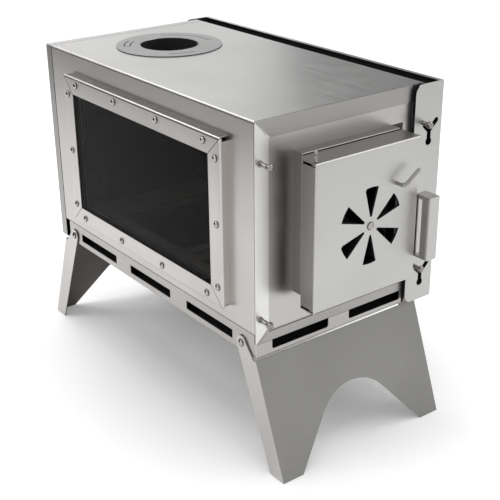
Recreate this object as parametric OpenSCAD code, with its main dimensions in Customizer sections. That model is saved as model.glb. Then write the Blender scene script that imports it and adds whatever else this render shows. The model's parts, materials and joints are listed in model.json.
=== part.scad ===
// Camping wood stove in folded stainless sheet, in millimetres, +Z up.
// +X points to the door and -Y to the bare window. The origin is on the ground,
// under the centre of the stove's outline.

/* [Shell] */
// Length of the shell between its two ends
shell_l = 396; // [380:1:420]
// Width of the shell across the windows
shell_w = 220; // [215:1:235]
// Height of the shell above the firebox floor
shell_h = 221; // [218:1:235]
// Thickness of the stainless sheet
sheet_t = 1.2; // [1:0.1:1.4]
// Outer radius of a folded edge
bend_r = 2.5; // [2:0.1:3]
// Depth of the rear cover
rear_d = 14; // [12:1:18]
// Length of the rear cover's tongue inside the shell
rear_tongue = 8; // [5:1:12]
// Width of the end frame's upright strips
frame_side_w = 16; // [14:1:18]
// Width of the end frame's top strip
frame_top_w = 18; // [14:1:20]
// How far the end frame hangs below the firebox floor
frame_drop = 10; // [8:1:12]
// How far the rear cover hangs below the firebox floor
rear_drop = 25.5; // [20:0.5:26]

/* [Base] */
// Height of the base's underside above the ground
ground_h = 123; // [115:1:130]
// Height of the base's long sides
base_h = 27; // [26:1:32]
// Width of the base's inward flanges under the firebox floor
base_flange = 12; // [8:1:16]
// Gap between the shell's rear edge and the base's rear wall
base_setback = 8; // [6:1:12]
// Length of an air slot in a long side
slot_l = 84; // [70:1:88]
// Height of an air slot
slot_h = 10; // [8:1:11]
// Height of the side air slots above the base's underside
slot_z = 8; // [6:1:9]
// Distance between the air slots in a long side
slot_pitch = 116; // [100:1:118]
// Length of an air slot in the door end
end_slot_l = 75; // [60:1:80]
// Corner radius of the air slots in the door end
end_slot_r = 2.5; // [1:0.5:4]
// Distance between the two air slots in the door end
end_slot_pitch = 104; // [95:1:108]

/* [Windows] */
// Outer length of the window bezel
bezel_l = 310; // [290:1:330]
// Outer height of the window bezel
bezel_h = 181; // [170:1:185]
// Width of a bezel strip
bezel_w = 20; // [18:1:22]
// How far the bezel stands off the shell
bezel_off = 9; // [8:0.5:10]
// Distance from the top plate down to the bezel
bezel_drop = 24.5; // [20:0.5:28]
// Gap left open at the bezel's mitred corners
mitre_gap = 0.8; // [0.4:0.1:1.2]
// Length of the notch at each end of a bezel strip's return
bezel_notch = 4; // [2:0.5:6]
// Thickness of the window glass
glass_t = 4; // [3:0.5:5]
// How far the glass reaches under the bezel
glass_lap = 8; // [6:0.5:9]
// Radius of a bezel rivet's shank
rivet_r = 1.6; // [1.2:0.1:2]
// Radius of a bezel rivet's domed head
rivet_head_r = 4; // [3:0.1:4.5]
// Height of a bezel rivet's domed head
rivet_head_h = 2.5; // [2:0.1:3]
// Distance from the bezel's outer edge to its rivets
rivet_edge = 8.5; // [8:0.5:10]
// Distance from the bezel's ends to the rivets nearest to them, in its level strips
rivet_end_x = 28.1; // [24:0.1:40]
// Distance from the bezel's ends to the rivets nearest to them, in its upright strips
rivet_end_z = 22; // [20:0.5:30]

/* [Flue] */
// Bore radius of the flue socket
flue_r = 34; // [30:0.5:35]
// Distance from the shell's rear edge to the flue's axis
flue_back = 88; // [80:1:110]
// Length of the flue socket
flue_len = 26; // [20:1:40]
// Radius of the ring plate round the flue
ring_r = 62.5; // [58:0.5:66]
// Thickness of the ring plate
ring_t = 1; // [0.8:0.1:1.5]
// Radius of the twist-lock slits in the ring plate
ring_slit_r = 49.5; // [47:0.5:52]

/* [Guard] */
// Radius of a guard post's rod
post_r = 2.4; // [2:0.1:2.6]
// Radius of a guard post's threaded shank
post_shank_r = 1.8; // [1.5:0.1:2]
// Radius of a guard post's ball
post_ball_r = 3.8; // [3.4:0.1:4.2]
// Distance from the end of the stove to a post's ball
post_out = 15; // [14:0.5:18]
// Distance from the shell's side to the posts
post_in = 5.5; // [5.2:0.1:8]
// Distance from the top plate down to the upper posts
post_top = 41; // [35:1:60]
// Distance between the upper and the lower posts
post_pitch = 163; // [140:1:165]
// Distance from the shell's side to the guard's outer face
guard_off = 24; // [22:1:30]
// Gap between the stove's ends and the guard's flanges
guard_gap = 4; // [3:0.5:6]
// Height of the guard panel
guard_h = 247; // [230:1:250]
// Width of the guard's end flanges
guard_flange = 41.5; // [36:0.5:44]
// Corner radius of the guard's end flanges
guard_corner_r = 10; // [6:1:12]
// Width of the guard's top and bottom hems
guard_hem = 7; // [5:0.5:8]
// Sideways reach of a Y slot's arms
arm_y = 10; // [8:0.5:11]
// Rise of a Y slot's arms
arm_z = 9.5; // [8:0.5:11]
// Length of a Y slot's stem
stem_z = 12; // [10:0.5:14]

/* [Legs] */
// Thickness of the leg plate
leg_t = 1.5; // [1.2:0.1:2]
// Distance from the shell's end to the leg pivot
leg_pivot_in = 23; // [20:1:26]
// Height of the leg pivot above the base's underside
leg_pivot_z = 11; // [10:0.5:13]
// Distance from the leg pivot to the leg plate
leg_off = 17.5; // [15:0.5:19]
// Splay of an open leg
leg_splay = 20.3; // [15:0.1:24]
// Radius of the rounded ear round the leg pivot
leg_ear_r = 8; // [6:0.5:9]
// Width of the leg's side flange at the foot
leg_foot_w = 20; // [18:1:24]
// Half width of the arch between the feet
arch_half = 85.5; // [75:0.5:90]
// Height of the arch along the leg plate
arch_h = 73.5; // [60:0.5:80]
// Radius of the arch's crown
arch_r = 55; // [48:1:60]
// Radius of a leg pivot rivet's shank
leg_pin_r = 2.5; // [2:0.1:3]

/* [Door] */
// Width of the door
door_w = 137; // [134:1:140]
// Height of the door
door_h = 155; // [152:1:160]
// Depth of the door pan
door_d = 27.5; // [25:0.5:30]
// Distance from the top plate down to the door
door_drop = 38.7; // [38:0.1:45]
// Offset of the door towards the bare window
door_off = 1.5; // [0:0.5:3]
// Depth of the door's hinge-side flange
hinge_flange_d = 20; // [18:0.5:21]
// How much narrower the mouth collar is than the door
collar_less_w = 9; // [8:0.5:12]
// How much lower the mouth collar is than the door
collar_less_h = 6.5; // [5:0.5:10]
// Depth of the mouth collar
collar_d = 11.5; // [10:0.5:14]
// Width of the lip round the mouth
lip_w = 10; // [8:0.5:12]
// Radius of the hinge pin
pin_r = 1.8; // [1.5:0.1:2]
// Distance from the door's front to the hinge pin
pin_back = 5.5; // [5.2:0.1:6]
// Distance from the door's hinge side to the hinge pin
pin_in = 4.3; // [4.2:0.1:5]
// Height of the hinge pin's head above the door
pin_head_h = 11.5; // [9:0.5:14]

/* [Damper and latch] */
// Number of damper windows
petals = 6; // [5:1:8]
// Inner radius of a damper window
petal_in = 9.8; // [9:0.1:11]
// Outer radius of a damper window
petal_out = 40.8; // [36:0.2:41]
// Half the angle that a damper window takes
petal_half = 12.7; // [9:0.1:13]
// Radius of the damper disc
disc_r = 44.5; // [43:0.5:45]
// Radius of the damper screw
damper_pin_r = 2; // [1.5:0.1:2.5]
// Radius of the latch wire
wire_r = 1.9; // [1.5:0.1:2.2]
// Distance from the door's front to the latch wire's arm
wire_out = 11; // [9:0.5:12]
// Length of the latch wire's arm
wire_arm = 22.5; // [18:0.1:26]
// Angle of the latch wire's arm above level
wire_angle = 35; // [20:1:60]
// Distance from the damper's axis to the latch axis, across the door
latch_dy = 33.5; // [33:0.5:36]
// Distance from the damper's axis up to the latch axis
latch_dz = 37; // [36:0.5:38]
// How far the latch cam reaches behind the collar's lip
cam_catch = 3.5; // [2:0.5:5]

/* [Handle] */
// Height of the handle
grip_h = 69; // [60:1:75]
// Distance from the door's front to the handle's front
grip_out = 15.5; // [14:0.5:20]
// Width of the handle's folded edge
grip_flange = 15; // [12:0.5:16]
// Depth of the handle's bar
grip_bar = 9.5; // [8:0.5:10]
// Distance from the door's top down to the handle
grip_drop = 62.3; // [50:0.1:70]
// How far the handle laps over the door's flange
grip_lap = 18; // [14:1:20]

/* [Grate] */
// Length of the fire grate
grate_l = 300; // [260:1:340]
// Width of the fire grate
grate_w = 160; // [140:1:180]
// Height of the fire grate
grate_h = 14; // [10:1:20]
// Number of slots across the fire grate
grate_slots = 11; // [7:1:13]
// Width of a slot in the fire grate
grate_slot_w = 10; // [6:1:12]

/* [Hidden] */
$fn = 48;

// Overrun of a cut past the face it starts from
over = 2;
// Clearance between pieces that move past each other
slip = 0.3;
// Radial clearance of a shaft in its hole
fit = 0.05;
// Width of a seam that shows as a dark line
seam = 0.7;
// Clearance between the hinge ears and the door
ear_slip = 0.6;

// Heights and faces of the body
end_x = shell_l / 2;
side_y = shell_w / 2;
base_z = ground_h;
floor_z = base_z + base_h;
top_z = floor_z + shell_h;
frame_z = floor_z - frame_drop;
rear_low_z = floor_z - rear_drop;
rear_x = -end_x - rear_d;
panel_x = end_x - sheet_t;
base_end_x = panel_x - sheet_t - slip;
base_rear_x = -end_x + base_setback;

// Window
bezel_z = top_z - bezel_drop - bezel_h / 2;
open_l = bezel_l - 2 * bezel_w;
open_h = bezel_h - 2 * bezel_w;
glass_y = side_y + bezel_off - sheet_t - glass_t;
rivet_tail = 0.8;
rivet_tail_r = 3;
// Rivet places as shares of the run between the end rivets, from its middle
rivet_x_shares = [-1 / 2, -1 / 6, 1 / 6, 1 / 2];
rivet_z_shares = [-1 / 2, 0, 1 / 2];
rivet_run_x = bezel_l - 2 * rivet_end_x;
rivet_run_z = bezel_h - 2 * rivet_end_z;

// Flue
flue_x = flue_back - end_x;
slit_w = 1.2;
socket_r = flue_r + sheet_t;
socket_flange = 8;
tongue_w = 7;
// Angles at which the ring plate's slits start and end
rear_slit = [79, 159];
front_slit = [-34, 4];
tongue_slit = [-148, -115];

// Posts and guard
post_y = side_y - post_in;
post_z = [top_z - post_top, top_z - post_top - post_pitch];
post_nut_r = 4.1;
post_nut_h = 3;
arm_play = 0.4;
arm_slot_r = post_r + arm_play;
keyhole_r = post_ball_r + arm_play;
seat_drop = arm_slot_r - post_r - fit;
guard_y = side_y + guard_off;
guard_x = end_x + guard_gap;
guard_rear_x = rear_x - guard_gap;
hem_relief = 3;

// Legs
leg_x = end_x - leg_pivot_in;
leg_z = base_z + leg_pivot_z;
leg_y = side_y + slip;
leg_top = (leg_pivot_z + slip + (leg_off + leg_t) * sin(leg_splay)) / cos(leg_splay);
foot_x = leg_x + leg_z * tan(leg_splay) + (leg_off + leg_t) / cos(leg_splay);
leg_len = (leg_z + (leg_off + leg_t) * sin(leg_splay)) / cos(leg_splay);
arch_c = arch_h - arch_r;
arch_turn = acos(arch_r / norm([arch_half, arch_c])) - atan2(arch_c, arch_half);
leg_head_r = 4.3;
leg_head_h = 2.6;
leg_tail_r = 4;
leg_tail_h = 1.2;

// Door
door_out = 40;
door_front = end_x + door_out;
door_rear = door_front - door_d;
door_y = -door_off;
door_lo = door_y - door_w / 2;
door_hi = door_y + door_w / 2;
door_top = top_z - door_drop;
door_z = door_top - door_h;
plate_x = door_front - sheet_t;
hinge_chamfer = 8;
pin_x = door_front - pin_back;
pin_y = door_lo + pin_in;
pin_foot = 1.5;
pin_foot_r = 2.8;
pin_ring_r = 2.7;
pin_ring_h = 1.2;
pin_ring_z = 4.5;
pin_ball_r = 2.2;
ear_r = pin_back - sheet_t - slip;
ear_top_z = door_top - sheet_t - ear_slip - sheet_t;
ear_low_z = door_z + sheet_t + ear_slip;
collar_y = 2;
collar_w = door_w - collar_less_w;
collar_h = door_h - collar_less_h;
collar_lo = collar_y - collar_w / 2;
collar_hi = collar_y + collar_w / 2;
collar_front = end_x + collar_d;
collar_rise = 1.4;
collar_top = door_top + collar_rise;
collar_z = collar_top - collar_h;
ear_root_in = 2;
ear_root_w = 13;
ear_root = [collar_lo + ear_root_in, collar_lo + ear_root_in + ear_root_w];
ear_root_x = collar_front - sheet_t / 2;

// Damper and latch
damper_drop = 118;
damper_z = top_z - damper_drop;
petal_tip = 1.1;
disc_x = plate_x - slip - sheet_t;
lug_r = 3.2;
damper_head_r = 4.5;
damper_head_h = 2.8;
damper_nut_r = 3.8;
damper_nut_h = 3.2;
latch_y = collar_y + latch_dy;
latch_z = damper_z + latch_dz;
wire_x = door_front + wire_out;
wire_bend = 5;
bush_r = 3.5;
bush_l = 6;
clip_r = 3.4;
clip_t = 0.9;
cam_reach = collar_hi - lip_w + cam_catch - latch_y;
cam_t = 1.5;
cam_w = 8;
cam_x = collar_front - sheet_t - seam - cam_t;

// Handle
grip_top = door_top - grip_drop;
grip_z = grip_top - grip_h;
grip_y = door_hi;
grip_front = door_front + grip_out;
grip_gap_x = door_front + seam;
grip_margin = 3.5;
grip_tab_d = 19.5;
grip_rivet_r = 1.5;
grip_rivet_head_r = 3;
grip_rivet_head_h = 1.2;
grip_rivet_z_shares = [0.2, 0.8];

// Grate
grate_t = 1.5;
grate_margin = 14;
grate_pitch = (grate_l - 2 * grate_margin) / grate_slots;

// Centre of the stove's outline, which the origin stands under
frame_x = (grip_front - foot_x) / 2;
frame_y = (guard_y - side_y - bezel_off - rivet_head_h) / 2;

// Puts a piece from the shell's own centre into the stove's frame
module in_frame() translate([-frame_x, -frame_y, 0]) children();

// A block between two opposite corners
module block(lo, hi) translate(lo) cube(hi - lo);

// An outline in Y and Z, drawn out along X
module along_x(x0, x1) translate([x0, 0, 0]) rotate([90, 0, 90]) linear_extrude(x1 - x0) children();

// An outline in X and Z, drawn out along Y
module along_y(y0, y1) translate([0, y1, 0]) rotate([90, 0, 0]) linear_extrude(y1 - y0) children();

// An outline in X and Y, drawn out along Z
module along_z(z0, z1) translate([0, 0, z0]) linear_extrude(z1 - z0) children();

// A round bar along X, Y or Z
module bar_x(x0, x1, y, z, r) translate([x0, y, z]) rotate([0, 90, 0]) cylinder(r = r, h = x1 - x0);
module bar_y(x, y0, y1, z, r) translate([x, y1, z]) rotate([90, 0, 0]) cylinder(r = r, h = y1 - y0);
module bar_z(x, y, z0, z1, r) translate([x, y, z0]) cylinder(r = r, h = z1 - z0);

// A rectangle between two corners. Its corners are rounded where the list has a 1, in the
// order lower left, lower right, upper right, upper left
module rounded(lo, hi, r, corners) {
  size = hi - lo;
  translate([lo.x + r, lo.y]) square([size.x - 2 * r, size.y]);
  translate([lo.x, lo.y + r]) square([size.x, size.y - 2 * r]);
  for (k = [0 : 3]) {
    right = k == 1 || k == 2;
    upper = k > 1;
    corner = [right ? hi.x - r : lo.x + r, upper ? hi.y - r : lo.y + r];
    if (corners[k] == 1) translate(corner) circle(r);
    else translate(corner - [right ? 0 : r, upper ? 0 : r]) square(r);
  }
}

// A solid box between two corners with its edges rounded round the +X face
module rounded_front(lo, hi, r) intersection() {
  along_z(lo.z, hi.z) rounded([lo.x, lo.y], [hi.x, hi.y], r, [0, 1, 1, 0]);
  along_y(lo.y, hi.y) rounded([lo.x, lo.z], [hi.x, hi.z], r, [0, 1, 1, 0]);
}

// A domed head that stands on a plane, facing +Z
module dome(r, h) {
  cap_r = (r * r + h * h) / (2 * h);
  rotate_extrude() intersection() {
    translate([0, h - cap_r]) circle(cap_r);
    square([r, h]);
  }
}

// The outline of the shell's wall, seen from the end, shrunk by an inset
module shell_outline(low_z, inset) {
  rounded([inset - side_y, low_z], [side_y - inset, top_z - inset], bend_r - inset, [0, 0, 1, 1]);
}

// What the two windows take out of the shell
module window_cuts() {
  for (side = [-1, 1]) {
    lo_y = side * side_y - over;
    along_y(lo_y, lo_y + 2 * over) {
      translate([-open_l / 2, bezel_z - open_h / 2]) square([open_l, open_h]);
      rivet_places() circle(rivet_r);
    }
  }
}

// The places of a window's rivets in X and Z
module rivet_places() {
  long_z = bezel_h / 2 - rivet_edge;
  short_x = bezel_l / 2 - rivet_edge;
  for (end = [-1, 1]) {
    for (k = rivet_x_shares) translate([k * rivet_run_x, bezel_z + end * long_z]) children();
    for (k = rivet_z_shares) translate([end * short_x, bezel_z + k * rivet_run_z]) children();
  }
}

module shell() color("#c4c3c1") in_frame() difference() {
  along_x(seam - end_x, panel_x - seam) difference() {
    shell_outline(floor_z + seam, 0);
    shell_outline(floor_z - over, sheet_t);
  }
  window_cuts();
  bar_z(flue_x, 0, top_z - bend_r, top_z + over, socket_r + fit);
}

module door_end_frame() color("#c2c1bf") in_frame() difference() {
  along_x(panel_x, end_x) difference() {
    shell_outline(frame_z, 0);
    translate([frame_side_w - side_y, floor_z])
      square([shell_w - 2 * frame_side_w, shell_h - frame_top_w]);
  }
  frame_mitres();
  post_holes(panel_x - over, end_x + over, [-post_y, post_y]);
}

// Saw lines at the corners of the end frame, which stop short of its inner corners
module frame_mitres() {
  keep_share = 0.85;
  for (side = [-1, 1]) {
    top = [side * side_y, top_z];
    top_in = [side * (side_y - frame_side_w), top_z - frame_top_w];
    low = [side * side_y, frame_z];
    low_in = [side * (side_y - frame_side_w), floor_z];
    saw_line(top, top + (top_in - top) * keep_share);
    saw_line(low, low + (low_in - low) * keep_share);
  }
}

// A thin cut through the end frame from one point in Y and Z to another
module saw_line(a, b) {
  run = b - a;
  translate([panel_x - over, a.x, a.y])
    rotate([atan2(run.y, run.x), 0, 0])
      translate([0, 0, -seam / 4]) cube([sheet_t + 2 * over, norm(run), seam / 2]);
}

// The holes of one end for the posts at some places in Y
module post_holes(x0, x1, places) {
  for (y = places, z = post_z) bar_x(x0, x1, y, z, post_shank_r + fit);
}

module door_end_panel() color("#bdbcba") in_frame() difference() {
  inner_y = side_y - sheet_t;
  block([panel_x - sheet_t, -inner_y, frame_z + seam], [panel_x, inner_y, top_z - sheet_t]);
  block([panel_x - sheet_t - over, collar_lo + sheet_t, collar_z + sheet_t],
    [panel_x + over, collar_hi - sheet_t, collar_top - sheet_t]);
  post_holes(panel_x - sheet_t - over, panel_x + over, [-post_y, post_y]);
}

module rear_cover() color("#bbbab8") in_frame() difference() {
  union() {
    rear_form(0, -end_x);
    along_x(-end_x, rear_tongue - end_x) shell_outline(floor_z + sheet_t, sheet_t);
  }
  rear_form(sheet_t, -end_x - rear_tongue);
  along_x(-end_x - rear_tongue - over, rear_tongue - end_x + over) {
    intersection() {
      shell_outline(frame_z, 2 * sheet_t);
      translate([-side_y, floor_z]) square([shell_w, shell_h]);
    }
  }
  block([-end_x - rear_tongue - over, sheet_t - side_y, rear_low_z + sheet_t],
    [over - end_x, side_y - sheet_t, floor_z + sheet_t]);
  post_holes(rear_x - over, rear_x + rear_d - over, [post_y]);
}

// The rear cover's form up to a plane in X, with all its outer edges rounded, shrunk by an inset
module rear_form(inset, x1) {
  lo = [rear_x + inset, inset - side_y, rear_low_z + inset];
  hi = [x1 + bend_r, side_y - inset, top_z - inset];
  r = bend_r - inset;
  intersection() {
    along_x(lo.x, x1) rounded([lo.y, lo.z], [hi.y, hi.z], r, [1, 1, 1, 1]);
    along_y(lo.y, hi.y) rounded([lo.x, lo.z], [hi.x, hi.z], r, [1, 0, 0, 1]);
    along_z(lo.z, hi.z) rounded([lo.x, lo.y], [hi.x, hi.y], r, [1, 0, 0, 1]);
  }
}

module floor_plate() color("#a3a09c") in_frame() {
  inner_y = side_y - sheet_t - slip;
  block([rear_x + sheet_t, -inner_y, floor_z], [panel_x - sheet_t, inner_y, floor_z + sheet_t]);
}

module fire_grate() color("#6f6b67") in_frame() difference() {
  low = floor_z + sheet_t;
  block([-grate_l / 2, -grate_w / 2, low], [grate_l / 2, grate_w / 2, low + grate_h]);
  block([-grate_l / 2 - over, grate_t - grate_w / 2, low - over],
    [grate_l / 2 + over, grate_w / 2 - grate_t, low + grate_h - grate_t]);
  for (k = [0 : grate_slots - 1]) {
    x = grate_margin - grate_l / 2 + (k + 0.5) * grate_pitch;
    block([x - grate_slot_w / 2, grate_margin - grate_w / 2, low],
      [x + grate_slot_w / 2, grate_w / 2 - grate_margin, low + grate_h + over]);
  }
}

module base_frame() color("#bfbdbb") in_frame() difference() {
  union() {
    difference() {
      base_form(0, floor_z);
      base_form(sheet_t, floor_z + over);
    }
    for (side = [-1, 1]) {
      y0 = side < 0 ? -side_y : side_y - base_flange;
      block([base_rear_x + bend_r, y0, floor_z - sheet_t], [base_end_x, y0 + base_flange, floor_z]);
    }
  }
  block([base_end_x, -side_y - over, frame_z - slip], [end_x + over, side_y + over, floor_z + over]);
  side_slots();
  end_slots();
  for (x = [-leg_x, leg_x]) bar_y(x, -side_y - over, side_y + over, leg_z, leg_pin_r + fit);
}

// The base's form up to a plane in Z, with its upright and lower edges rounded, shrunk by an inset
module base_form(inset, z1) {
  lo = [base_rear_x + inset, inset - side_y, base_z + inset];
  hi = [end_x - inset, side_y - inset, z1 + bend_r];
  r = bend_r - inset;
  intersection() {
    along_x(lo.x, hi.x) rounded([lo.y, lo.z], [hi.y, hi.z], r, [1, 1, 0, 0]);
    along_y(lo.y, hi.y) rounded([lo.x, lo.z], [hi.x, hi.z], r, [1, 1, 0, 0]);
    along_z(lo.z, z1) rounded([lo.x, lo.y], [hi.x, hi.y], r, [1, 1, 1, 1]);
  }
}

// The air slots through both long sides of the base
module side_slots() {
  for (k = [-1, 0, 1])
    block([k * slot_pitch - slot_l / 2, -side_y - over, base_z + slot_z],
      [k * slot_pitch + slot_l / 2, side_y + over, base_z + slot_z + slot_h]);
}

// The air slots in the base's door end, which are notches under the end frame
module end_slots() {
  along_x(panel_x - over, end_x + over) for (k = [-0.5, 0.5]) {
    y0 = k * end_slot_pitch - end_slot_l / 2;
    rounded([y0, frame_z - slot_h - seam], [y0 + end_slot_l, frame_z + 2 * over], end_slot_r, [1, 1, 0, 0]);
  }
}

module flue_ring() color("#c9c8c6") in_frame() translate([flue_x, 0, top_z]) difference() {
  cylinder(r = ring_r, h = ring_t);
  translate([0, 0, -over]) cylinder(r = socket_r + fit, h = ring_t + 2 * over);
  hook_r = ring_slit_r + tongue_w;
  arc_slit(ring_slit_r, rear_slit);
  arc_slit(ring_slit_r, front_slit);
  radial_slit(ring_slit_r, hook_r, rear_slit[0]);
  for (side = [-0.5, 0.5]) arc_slit(ring_slit_r + side * tongue_w, tongue_slit);
  radial_slit(ring_slit_r - tongue_w / 2, ring_slit_r + tongue_w / 2, tongue_slit[1]);
}

// A slit in the ring plate along an arc
module arc_slit(r, span) {
  rotate([0, 0, span[0]]) rotate_extrude(angle = span[1] - span[0])
    translate([r - slit_w / 2, -over]) square([slit_w, ring_t + 2 * over]);
}

// A slit in the ring plate along a radius
module radial_slit(r0, r1, turn) {
  rotate([0, 0, turn]) block([r0, -slit_w / 2, -over], [r1, slit_w / 2, ring_t + over]);
}

module flue_socket() color("#8f8c88") in_frame() translate([flue_x, 0, 0]) difference() {
  union() {
    bar_z(0, 0, top_z - flue_len, top_z + ring_t, socket_r);
    bar_z(0, 0, top_z - 2 * sheet_t, top_z - sheet_t, socket_r + socket_flange);
  }
  bar_z(0, 0, top_z - flue_len - over, top_z + ring_t + over, flue_r);
}

// One bezel strip, lying along X with its outer edge up, in front of the -Y wall
module bezel_strip(length, shares, run) {
  open = mitre_gap / 2;
  foot = length / 2 - bezel_w - open;
  difference() {
    intersection() {
      along_x(-length / 2, length / 2) bezel_section();
      along_y(-side_y - bezel_off - over, -side_y + over) polygon([[open - length / 2, 0],
        [length / 2 - open, 0], [foot, -bezel_w], [-foot, -bezel_w]]);
    }
    for (k = shares) bar_y(k * run, -side_y - bezel_off - over, -side_y, -rivet_edge, rivet_r);
    for (x0 = [-length / 2 - over, length / 2 - bezel_notch])
      block([x0, -side_y - bezel_off + bend_r + slip, -bezel_w / 2],
        [x0 + bezel_notch + over, over - side_y, over]);
  }
}

// The section of a bezel strip in Y and Z: its face and the return to the shell
module bezel_section() difference() {
  face = -side_y - bezel_off;
  rounded([face, -bezel_w], [-side_y, 0], bend_r, [0, 0, 0, 1]);
  rounded([face + sheet_t, -bezel_w - over], [over - side_y, -sheet_t], bend_r - sheet_t, [0, 0, 0, 1]);
}

module near_bezel_top() color("#c8c6c4") in_frame() bezel_level(1);
module near_bezel_bottom() color("#c8c6c4") in_frame() bezel_level(-1);
module near_bezel_front() color("#c8c6c4") in_frame() bezel_upright(1);
module near_bezel_rear() color("#c8c6c4") in_frame() bezel_upright(-1);
module far_bezel_top() color("#c8c6c4") in_frame() mirror([0, 1, 0]) bezel_level(1);
module far_bezel_bottom() color("#c8c6c4") in_frame() mirror([0, 1, 0]) bezel_level(-1);
module far_bezel_front() color("#c8c6c4") in_frame() mirror([0, 1, 0]) bezel_upright(1);
module far_bezel_rear() color("#c8c6c4") in_frame() mirror([0, 1, 0]) bezel_upright(-1);

// A level bezel strip, above or below the window
module bezel_level(up) {
  translate([0, 0, bezel_z + up * bezel_h / 2])
    rotate([0, up > 0 ? 0 : 180, 0]) bezel_strip(bezel_l, rivet_x_shares, rivet_run_x);
}

// An upright bezel strip, at the door end or the rear end of the window
module bezel_upright(end) {
  translate([end * bezel_l / 2, 0, bezel_z])
    rotate([0, end * 90, 0]) bezel_strip(bezel_h, rivet_z_shares, rivet_run_z);
}

module near_glass() color("#2b2b2b") in_frame() window_glass();
module far_glass() color("#2b2b2b") in_frame() mirror([0, 1, 0]) window_glass();
module near_gasket() color("#3a3836") in_frame() window_gasket();
module far_gasket() color("#3a3836") in_frame() mirror([0, 1, 0]) window_gasket();

// The glass pane, which lies against the back of the bezel
module window_glass() {
  half = [open_l / 2 + glass_lap, open_h / 2 + glass_lap];
  block([-half.x, -glass_y - glass_t, bezel_z - half.y], [half.x, -glass_y, bezel_z + half.y]);
}

// The fibre gasket between the pane and the shell
module window_gasket() {
  along_y(-glass_y, -side_y) translate([0, bezel_z]) difference() {
    square([open_l + 2 * glass_lap, open_h + 2 * glass_lap], center = true);
    square([open_l, open_h], center = true);
  }
}

module near_rivets() color("#dcdcda") in_frame() window_rivets();
module far_rivets() color("#dcdcda") in_frame() mirror([0, 1, 0]) window_rivets();

// The rivets that hold one bezel to the shell
module window_rivets() {
  long_z = bezel_h / 2 - rivet_edge;
  short_x = bezel_l / 2 - rivet_edge;
  for (end = [-1, 1]) {
    for (k = rivet_x_shares) window_rivet(k * rivet_run_x, bezel_z + end * long_z);
    for (k = rivet_z_shares) window_rivet(end * short_x, bezel_z + k * rivet_run_z);
  }
}

// One domed rivet with its tail inside the shell
module window_rivet(x, z) {
  front = -side_y - bezel_off;
  inside = sheet_t - side_y;
  translate([x, front, z]) rotate([90, 0, 0]) dome(rivet_head_r, rivet_head_h);
  bar_y(x, front, inside, z, rivet_r);
  bar_y(x, inside, inside + rivet_tail, z, rivet_tail_r);
}

// The posts at both sides of the door end, and at the guard's side of the rear end
module guard_posts() color("#dcdcda") in_frame() {
  for (z = post_z) {
    for (y = [-post_y, post_y]) post_shape(2 * sheet_t, end_x, y, z);
    mirror([1, 0, 0]) post_shape(sheet_t, -rear_x, post_y, z);
  }
}

// One ball-headed post that stands on a face and points along +X, through sheets of some thickness
module post_shape(through, face_x, y, z) {
  bar_x(face_x - through - post_nut_h, face_x, y, z, post_shank_r);
  bar_x(face_x, face_x + post_out, y, z, post_r);
  translate([face_x + post_out, y, z]) sphere(post_ball_r);
}

module guard_post_nuts() color("#b9b9b7") in_frame() {
  for (z = post_z) {
    for (y = [-post_y, post_y])
      nut_x(panel_x - sheet_t - post_nut_h, y, z, post_nut_r, post_nut_h, post_shank_r);
    nut_x(rear_x + sheet_t, post_y, z, post_nut_r, post_nut_h, post_shank_r);
  }
}

// A hexagon nut along +X with a flat side towards Y
module nut_x(x, y, z, r, h, hole) {
  difference() {
    translate([x, y, z]) rotate([0, 90, 0]) cylinder(r = r, h = h, $fn = 6);
    bar_x(x - over, x + h + over, y, z, hole);
  }
}

module guard_panel() color("#c1bfbd") in_frame() difference() {
  lo_y = guard_y - guard_flange;
  low_z = top_z - guard_h;
  hem_y = guard_y - guard_hem;
  intersection() {
    guard_form(0);
    along_x(guard_rear_x - over, guard_x + over)
      rounded([lo_y, low_z], [guard_y + over, top_z], guard_corner_r, [1, 0, 0, 1]);
  }
  guard_form(sheet_t);
  block([guard_rear_x, lo_y - over, low_z - over], [guard_x, hem_y, top_z + over]);
  along_z(low_z - over, top_z + over) for (end = [[guard_x, -1], [guard_rear_x, 1]])
    polygon([[end[0], hem_y - over], [end[0], guard_y - bend_r],
      [end[0] + end[1] * hem_relief, hem_y - over]]);
  along_x(guard_rear_x - over - sheet_t, guard_x + over + sheet_t)
    for (z = post_z) translate([post_y, z - seat_drop]) y_slot();
}

// The guard's form, open towards the stove, with its outer edges rounded, shrunk by an inset
module guard_form(inset) {
  lo = [guard_rear_x - sheet_t + inset, guard_y - guard_flange - over, top_z - guard_h + inset];
  hi = [guard_x + sheet_t - inset, guard_y - inset, top_z - inset];
  r = bend_r - inset;
  intersection() {
    along_z(lo.z, hi.z) rounded([lo.x, lo.y], [hi.x, hi.y], r, [0, 0, 1, 1]);
    along_x(lo.x, hi.x) rounded([lo.y, lo.z], [hi.y, hi.z], r, [0, 1, 1, 0]);
  }
}

// A Y slot, drawn from the seat at the end of its inner arm. The ball goes in at its foot
module y_slot() {
  fork = [arm_y, -arm_z];
  slot_run([0, 0], fork);
  slot_run(fork, [2 * arm_y, 0]);
  slot_run(fork, fork - [0, stem_z]);
  translate(fork - [0, stem_z]) circle(keyhole_r);
}

// A straight slot with round ends
module slot_run(a, b) {
  run = b - a;
  translate(a) rotate(atan2(run.y, run.x)) {
    translate([0, -arm_slot_r]) square([norm(run), 2 * arm_slot_r]);
    circle(arm_slot_r);
    translate([norm(run), 0]) circle(arm_slot_r);
  }
}

module door_leg() color("#8d8b88") in_frame() leg();
module rear_leg() color("#8d8b88") in_frame() mirror([1, 0, 0]) leg();

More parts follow.
